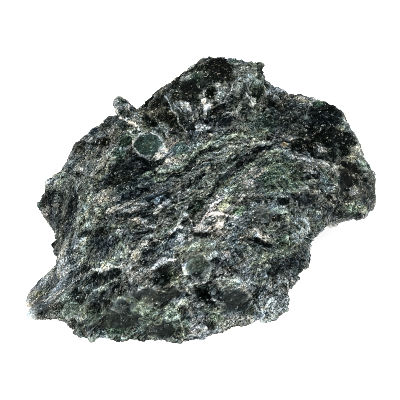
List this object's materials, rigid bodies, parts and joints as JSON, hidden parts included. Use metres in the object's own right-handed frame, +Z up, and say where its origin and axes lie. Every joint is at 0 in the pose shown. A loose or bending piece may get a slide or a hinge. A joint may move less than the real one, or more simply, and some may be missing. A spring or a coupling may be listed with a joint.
{
  "type": "raw mica boulder",
  "caption": "Rough, naturally broken boulder of dark green-black mica rock with pale foliation, lying on a flat base.",
  "frame": {"origin": "middle of the outline's box, on the flat base that the boulder lies on", "axes": "+Z up; +X along the boulder's length, from the thin tip to the rounded lobe; the broad leaning face looks towards -Y"},
  "size_m": [0.2588, 0.1878, 0.1477],
  "materials": {
    "mica_rock": "rough foliated rock with glossy dark mica plates"
  },
  "bodies": {
    "root": {"mica_boulder": "mica_rock"}
  },
  "joints": []
}
